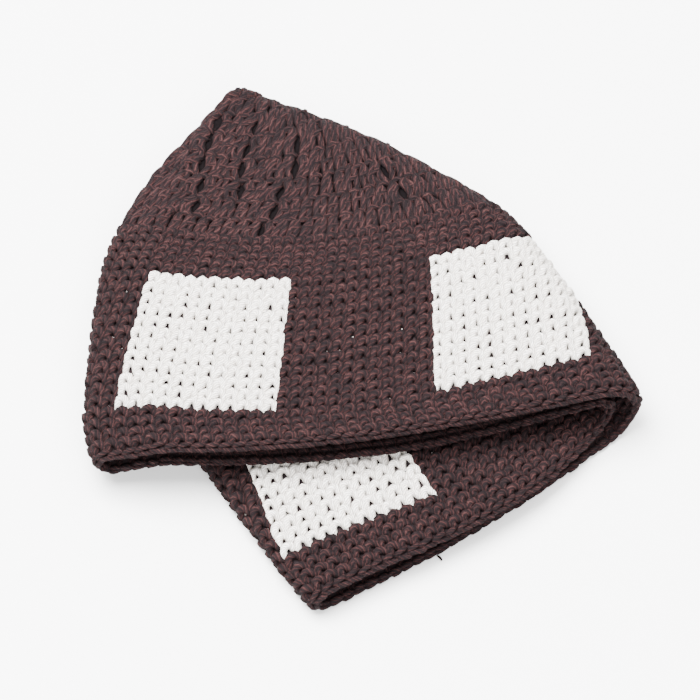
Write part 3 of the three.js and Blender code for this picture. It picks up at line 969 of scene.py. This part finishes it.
@dataclass
class Crown:
    """Tall stitches on the crown, in rows across each layer, with eyelets on the top layer.

    A post starts at an arc length along its row and keeps that length from a straight line
    through the tip, so posts stand across the rows and run out over the creases. An eyelet is a
    row and the share of the top layer's width at which the posts part. The names that end in
    jitter are the spreads by which posts differ.
    """

    layer: StitchLayer
    spacing: float = 4.2
    eyelet_room: float = 1.7
    eyelet_reach: float = 4.5
    eyelet_height: float = 0.28
    post_twist: float = 0.45
    crease_sink: float = 0.25
    tip_strands: int = 5
    tip_radius: float = 1.3
    tip_steps: tuple[tuple[float, float, float], ...] = (
        (0.95, 0.0, 0.9), (0.985, 0.3, 1.0), (1.0, 1.3, 0.4),
    )
    below_tip: float = 0.94
    row_shift: float = 0.13
    side_jitter: float = 0.16
    tilt_jitter: float = 0.5
    slip_jitter: float = 0.03
    bow_jitter: float = 0.14
    puff_jitter: float = 0.08
    radius_jitter: float = 0.06
    last_way: float = 0.997
    samples: int = 200
    rings: dict[float, tuple[np.ndarray, np.ndarray]] = field(default_factory=dict)
    eyelets: tuple[tuple[int, float], ...] = (
        (5, 0.165), (4, 0.165), (3, 0.165), (2, 0.185), (1, 0.185),
        (5, 0.50), (4, 0.375), (3, 0.34), (2, 0.31),
        (4, 0.66), (3, 0.53), (2, 0.45), (1, 0.41), (0, 0.38),
        (2, 0.84), (1, 0.805),
    )
    lean_shares: tuple[float, ...] = (0.0, 0.18, 0.45, 0.65, 0.82, 1.0)
    lean_slopes: tuple[float, ...] = (0.6, 0.31, 0.3, 0.0, -0.5, -0.8)

    def _ring(self, way: float) -> tuple[np.ndarray, np.ndarray]:
        """Turns sampled all round a row and their arc lengths from the left crease."""
        if way not in self.rings:
            turns = np.linspace(0, 4, 4 * self.samples + 1)
            places = self.layer.fabric.place(turns[:-1], np.full(4 * self.samples, way))
            places = np.concatenate([places, places[:1]])
            steps = np.linalg.norm(np.diff(places, axis=0), axis=1)
            self.rings[way] = (turns, np.concatenate([[0.0], np.cumsum(steps)]))
        return self.rings[way]

    def _mark(self, layer: Layer, way: float) -> float:
        """Arc length at which a row crosses the straight line through the tip, or its middle."""
        turns, arcs = self._ring(way)
        if layer is not Layer.TOP:
            return float(np.interp(layer.value + 0.5, turns, arcs))
        fabric = self.layer.fabric
        tip = fabric.place(np.array([0.5]), np.array([1.0]))[0, 0]
        shares = np.linspace(0, 1, self.samples)
        x = fabric.place(shares, np.full(self.samples, way))[:, 0]
        return float(np.interp(np.interp(tip, x, shares), turns, arcs))

    def _bases(self, layer: Layer, row: int, way: float) -> tuple[np.ndarray, np.ndarray]:
        """Arc lengths at which the posts of a row stand on one layer, and how far its eyelets push
        them aside halfway up."""
        turns, arcs = self._ring(way)
        low, high = np.interp([layer.value, layer.value + 1], turns, arcs)
        count = max(int(round((high - low) / self.spacing)), 1)
        bases = low + (np.arange(count) + 0.5 + self.row_shift * (row % 3 - 1)) * (high - low) / count
        aside = np.zeros(count)
        for eyelet_row, share in self.eyelets if layer is Layer.TOP else ():
            if eyelet_row == row:
                gaps = (bases[:-1] + bases[1:]) / 2
                away = bases - gaps[np.argmin(np.abs(gaps - (low + share * (high - low))))]
                aside += np.sign(away) * self.eyelet_room * np.exp(-((away / self.eyelet_reach) ** 2))
        return bases, aside

    def _crease_posts(self, loop: Loop, row: int) -> Strands:
        """One strand of the four posts of a row that stand on the creases and follow them."""
        creases = np.arange(4.0)
        ways = [self._row_way(row, along) for along in loop.along]
        here = []
        for way, across in zip(ways, loop.across):
            turns, arcs = self._ring(way)
            arc = np.interp(creases, turns, arcs) + across * self.spacing
            here.append(np.interp(np.mod(arc, arcs[-1]), arcs, turns))
        way = np.broadcast_to(np.array(ways), (4, len(ways)))
        place, normal = self.layer.fabric.place_and_normal(np.stack(here, 1), way)
        lift = np.array(loop.height) - self.crease_sink
        radii = np.broadcast_to(np.array(loop.radius), (4, len(ways)))
        tones = self.layer.random.random(4)
        centres = place + normal * lift[:, None]
        return Strands(centres, normal, radii, tones, twist=self.post_twist)

    def _tip(self) -> Strands:
        """Short strands over the tip that join each layer to the one that it meets inside.

        Each runs from the top layer over the end to the third, or from the second to the bottom.
        A tip step is a way, a reach past the tip and a height above the fabric.
        """
        fabric = self.layer.fabric
        share = (np.arange(self.tip_strands) + 0.5) / self.tip_strands
        first = np.concatenate([Layer.TOP.value + share, Layer.SECOND.value + share])
        last = np.concatenate([Layer.THIRD.value + 1 - share, Layer.BOTTOM.value + 1 - share])
        points, normals = [], []
        steps = [(first, step) for step in self.tip_steps] + [(last, step) for step in self.tip_steps[::-1]]
        for turn, (way, out, lift) in steps:
            place, normal = fabric.place_and_normal(turn, np.full(len(turn), way))
            end, below = (fabric.place(turn, np.full(len(turn), near)) for near in (1.0, self.below_tip))
            crownward = unit(end - below)
            points.append(place + crownward * out + normal * lift)
            normals.append(unit(normal + crownward * out))
        centres = np.stack(points, 1)
        radii = np.full(centres.shape[:2], self.tip_radius)
        tones = self.layer.random.random(len(first))
        return Strands(centres, np.stack(normals, 1), radii, tones, twist=self.post_twist)

    def _posts(self, loop: Loop, layer: Layer, row: int) -> Strands:
        """One strand of every post of a row on one layer."""
        fabric, draw = self.layer.fabric, self.layer.random.normal
        height = fabric.tall_row_height
        start_way = self._row_way(row, 0.0)
        bases, aside = self._bases(layer, row, start_way)
        turns, arcs = self._ring(start_way)
        shares = np.interp(bases, arcs, turns) - layer.value
        lean = np.interp(shares, self.lean_shares, self.lean_slopes) if layer is Layer.TOP else 0 * shares
        n = len(bases)
        side = draw(0, self.side_jitter, n)
        tilt = draw(0, self.tilt_jitter, n)
        slip = draw(0, self.slip_jitter, n)
        start = bases - self._mark(layer, start_way) + side
        ways = [self._row_way(row, along) for along in loop.along]
        here = []
        for way, across, along in zip(ways, loop.across, loop.along):
            here_turns, here_arcs = self._ring(way)
            opening = aside * max(0.0, 1 - (along / self.eyelet_height) ** 2)
            offset = start + opening + (lean * height + tilt) * along + across * self.spacing
            offset = offset + draw(0, self.bow_jitter, n)
            arc = np.mod(self._mark(layer, way) + offset, here_arcs[-1])
            here.append(np.interp(arc, here_arcs, here_turns))
        way = np.array(ways) + slip[:, None] * height / fabric.length
        place, normal = fabric.place_and_normal(np.stack(here, 1), way)
        puff = np.array(loop.height) * (1 + draw(0, self.puff_jitter, (n, 1)))
        radii = np.array(loop.radius) * (1 + draw(0, self.radius_jitter, (n, 1)))
        tones = self.layer.random.random(n)
        centres = place + normal * puff[..., None]
        return Strands(centres, normal, radii, tones, twist=self.post_twist)

    def _row_way(self, row: int, along: float) -> float:
        """Way at a share of a tall row, counted from its middle."""
        fabric = self.layer.fabric
        length = fabric.crown_start + (row + 0.5 + along) * fabric.tall_row_height
        return min(length / fabric.length, self.last_way)

    def build(self) -> bpy.types.Object:
        """Lays the posts of all tall rows and makes the piece."""
        fabric = self.layer.fabric
        yarn = YarnMesh()
        for row in range(fabric.tall_rows):
            for layer in Layer:
                for loop in POST_LOOPS:
                    yarn.add(self._posts(loop, layer, row))
            for loop in POST_LOOPS:
                yarn.add(self._crease_posts(loop, row))
        yarn.add(self._tip())
        return yarn.finish("crown_stitches", BROWN_YARN, ("crown",))


@dataclass
class Core:
    """Thin closed sheet inside the fabric, behind the loops of one node."""

    fabric: FoldedFabric
    node: str
    start: float
    end: float
    columns: tuple[float, float] | None = None
    finish: FeltedCore = BROWN_CORE
    outer: float = 0.30
    inner: float = -0.30
    round_cells: int = 320
    panel_cells: int = 36
    along_cell: float = 1.6

    def build(self) -> bpy.types.Object:
        """Two skins at fixed distances from the fabric's middle, joined along their borders."""
        rows = max(int((self.end - self.start) / self.along_cell), 2)
        ways = np.linspace(self.start, self.end, rows + 1) / self.fabric.length
        if self.columns is None:
            around = np.arange(self.round_cells) * 4.0 / self.round_cells
            turn = np.broadcast_to(around, (rows + 1, self.round_cells))
        else:
            column = np.linspace(*self.columns, self.panel_cells + 1)
            turn = self.fabric.turn_of(column[None, :], ways[:, None])
        way = np.broadcast_to(ways[:, None], turn.shape)
        place, normal = self.fabric.place_and_normal(turn, way)
        skins = np.stack([place + normal * self.outer, place + normal * self.inner])
        skins[..., 2] = np.maximum(skins[..., 2], 0.0)
        quads = self._faces(*turn.shape)
        mesh = mesh_from_quads(f"{self.node}_core", skins.reshape(-1, 3), quads)
        return place_piece(f"{self.node}_core", mesh, self.finish, (self.node,))

    def _faces(self, rows: int, n: int) -> np.ndarray:
        """Corners of the skins' cells and of the borders, all facing outwards."""
        index = np.arange(2 * rows * n).reshape(2, rows, n)
        closed = self.columns is None
        here = index if closed else index[:, :, :-1]
        there = np.roll(index, -1, axis=2) if closed else index[:, :, 1:]
        faces = [
            np.stack([here[0, :-1], there[0, :-1], there[0, 1:], here[0, 1:]], -1),
            np.stack([here[1, :-1], here[1, 1:], there[1, 1:], there[1, :-1]], -1),
            np.stack([here[0, 0], here[1, 0], there[1, 0], there[0, 0]], -1),
            np.stack([here[0, -1], there[0, -1], there[1, -1], here[1, -1]], -1),
        ]
        if not closed:
            first, last = index[:, :, 0], index[:, :, -1]
            faces.append(np.stack([first[0, :-1], first[0, 1:], first[1, 1:], first[1, :-1]], -1))
            faces.append(np.stack([last[0, :-1], last[1, :-1], last[1, 1:], last[0, 1:]], -1))
        return np.concatenate([face.reshape(-1, 4) for face in faces])


@dataclass
class CarriedYarn:
    """White yarn carried inside the brown panels, which shows as specks between the loops."""

    layer: StitchLayer
    square_stitches: int = 12
    points_per_stitch: int = 3
    radius: float = 0.36
    row_share: float = 0.42
    depth: float = -0.55
    depth_jitter: float = 0.50
    lowest: float = -0.3
    highest: float = 0.55

    def build(self) -> bpy.types.Object:
        """One wavy strand along each row of each brown panel."""
        fabric = self.layer.fabric
        count = self.square_stitches * self.points_per_stitch + 1
        yarn = YarnMesh()
        rows = np.arange(fabric.rows_of_squares)
        starts = np.arange(1, fabric.stitches // self.square_stitches, 2) * self.square_stitches
        row, start = (grid.ravel() for grid in np.meshgrid(rows, starts))
        n = len(row)
        column = start[:, None] + np.linspace(0, self.square_stitches, count)
        length = fabric.squares_start + (row[:, None] + self.row_share) * fabric.row_height + 0 * column
        way = length / fabric.length
        place, normal = fabric.place_and_normal(fabric.turn_of(column, way), way)
        height = self.depth + self.layer.random.normal(0, self.depth_jitter, (n, count))
        height = np.clip(height, self.lowest, self.highest)
        centres = place + normal * height[..., None]
        radii = np.full((n, count), self.radius)
        yarn.add(Strands(centres, normal, radii, self.layer.random.random(n), sides=4))
        return yarn.finish("carried_white_yarn", WHITE_YARN, ())


@dataclass(frozen=True)
class Lamp:
    """A square soft light that looks at the cap: place and size in metres, power in watts."""

    name: str
    place: tuple[float, float, float]
    size: float
    power: float


LAMPS = (
    Lamp("key", (-0.42, 0.26, 1.40), 1.0, 165.0),
    Lamp("fill", (0.5, 0.35, 1.5), 1.2, 40.0),
    Lamp("front", (0.15, -0.95, 0.70), 0.8, 22.0),
)


@dataclass
class Studio:
    """Pale floor, soft light and the camera at the photograph's angle.

    A pixel of the picture is pixel millimetres wide at the cap.
    """

    elevation: float = 62.0
    lens: float = 400.0
    sensor: float = 36.0
    pixel: float = 0.317
    pixels: int = 700
    sky_strength: float = 1.3
    floor_half: float = 4.0
    floor_level: float = -0.00005

    def build(self, fabric: FoldedFabric) -> None:
        """Makes the floor, the lights and the camera.

        Args:
            fabric: The cap's surface, whose shift says where the picture's middle lies.
        """
        self._floor()
        self._world()
        for lamp in LAMPS:
            self._lamp(lamp)
        self._camera(Vector(fabric.shift) * MILLIMETRE)

    def _floor(self) -> None:
        """A wide flat sheet just under the cap."""
        half, level = self.floor_half, self.floor_level
        corners = [(-half, -half, level), (half, -half, level), (half, half, level), (-half, half, level)]
        mesh = bpy.data.meshes.new("floor")
        mesh.from_pydata(corners, [], [(0, 1, 2, 3)])
        mesh.materials.append(FLOOR_FINISH.material())
        floor = bpy.data.objects.new("floor", mesh)
        bpy.context.scene.collection.objects.link(floor)
        floor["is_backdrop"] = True

    def _world(self) -> None:
        """Even white light from all round."""
        world = bpy.data.worlds.new("studio")
        world.use_nodes = True
        background = world.node_tree.nodes["Background"]
        background.inputs["Color"].default_value = (1.0, 1.0, 1.0, 1.0)
        background.inputs["Strength"].default_value = self.sky_strength
        bpy.context.scene.world = world

    def _lamp(self, lamp: Lamp) -> None:
        """Hangs a lamp and turns it to the cap."""
        data = bpy.data.lights.new(lamp.name, "AREA")
        data.size = lamp.size
        data.energy = lamp.power
        hung = bpy.data.objects.new(lamp.name, data)
        hung.location = lamp.place
        hung.rotation_euler = (-Vector(lamp.place)).to_track_quat("-Z", "Y").to_euler()
        bpy.context.scene.collection.objects.link(hung)

    def _camera(self, target: Vector) -> None:
        """A long lens aimed at the picture's middle on the floor."""
        angle = math.radians(self.elevation)
        view_width = self.pixel * self.pixels * MILLIMETRE
        distance = self.lens / self.sensor * view_width
        data = bpy.data.cameras.new("camera")
        data.lens = self.lens
        data.sensor_width = self.sensor
        camera = bpy.data.objects.new("camera", data)
        back = Vector((0.0, -math.cos(angle), math.sin(angle)))
        camera.location = target + back * distance
        camera.rotation_euler = (-back).to_track_quat("-Z", "Y").to_euler()
        bpy.context.scene.collection.objects.link(camera)
        bpy.context.scene.camera = camera


@dataclass
class Kufi:
    """The whole cap: its rim, bands, squares, panels and crown."""

    fabric: FoldedFabric
    squares: int = 6
    square_stitches: int = 12
    first_panel_seed: int = 10
    carried_seed: int = 60
    crown_seed: int = 70
    edge_core_start: float = 1.0
    crown_core_end: float = 0.99

    def build(self) -> None:
        """Builds the pieces from the rim to the tip."""
        fabric = self.fabric
        RimChain(StitchLayer(fabric, 1)).build()
        Core(fabric, "chain_edge", self.edge_core_start, fabric.edge_width).build()
        bands = (
            ("lower_band", fabric.edge_width, fabric.rows_below_squares),
            ("upper_band", fabric.squares_end, fabric.rows_above_squares),
        )
        for seed, (name, start, rows) in enumerate(bands, start=2):
            layer = StitchLayer(fabric, seed)
            LowStitches(f"{name}_stitches", BROWN_YARN, layer, 0.0, fabric.stitches, start, rows).build()
            Core(fabric, name, start, start + rows * fabric.row_height).build()
        for square in range(self.squares):
            self._panel(f"white_square_{square + 1}", WHITE_YARN, 2 * square)
            self._panel(f"brown_panel_{square + 1}", BROWN_YARN, 2 * square + 1)
        CarriedYarn(StitchLayer(fabric, self.carried_seed)).build()
        Crown(StitchLayer(fabric, self.crown_seed)).build()
        crown_end = fabric.length * self.crown_core_end
        # The crown's core is near black: painted shade in its eyelets and between its posts.
        Core(fabric, "crown", fabric.crown_start, crown_end, finish=CROWN_SHADE_CORE).build()

    def _panel(self, node: str, finish: PliedYarn, place: int) -> None:
        """One square or brown panel: its loops and its core."""
        fabric = self.fabric
        first = float(place * self.square_stitches)
        layer = StitchLayer(fabric, self.first_panel_seed + place)
        name, start, rows = f"{node}_stitches", fabric.squares_start, fabric.rows_of_squares
        LowStitches(name, finish, layer, first, self.square_stitches, start, rows).build()
        columns = (first, first + self.square_stitches)
        Core(fabric, node, fabric.squares_start, fabric.squares_end, columns).build()


def main() -> None:
    """Builds the cap and the studio."""
    logging.basicConfig(level=logging.INFO, format="%(name)s %(message)s")
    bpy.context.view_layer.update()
    fabric = FoldedFabric()
    fabric.centre_on_frame()
    Kufi(fabric).build()
    Studio().build(fabric)


if __name__ == "__main__":
    main()
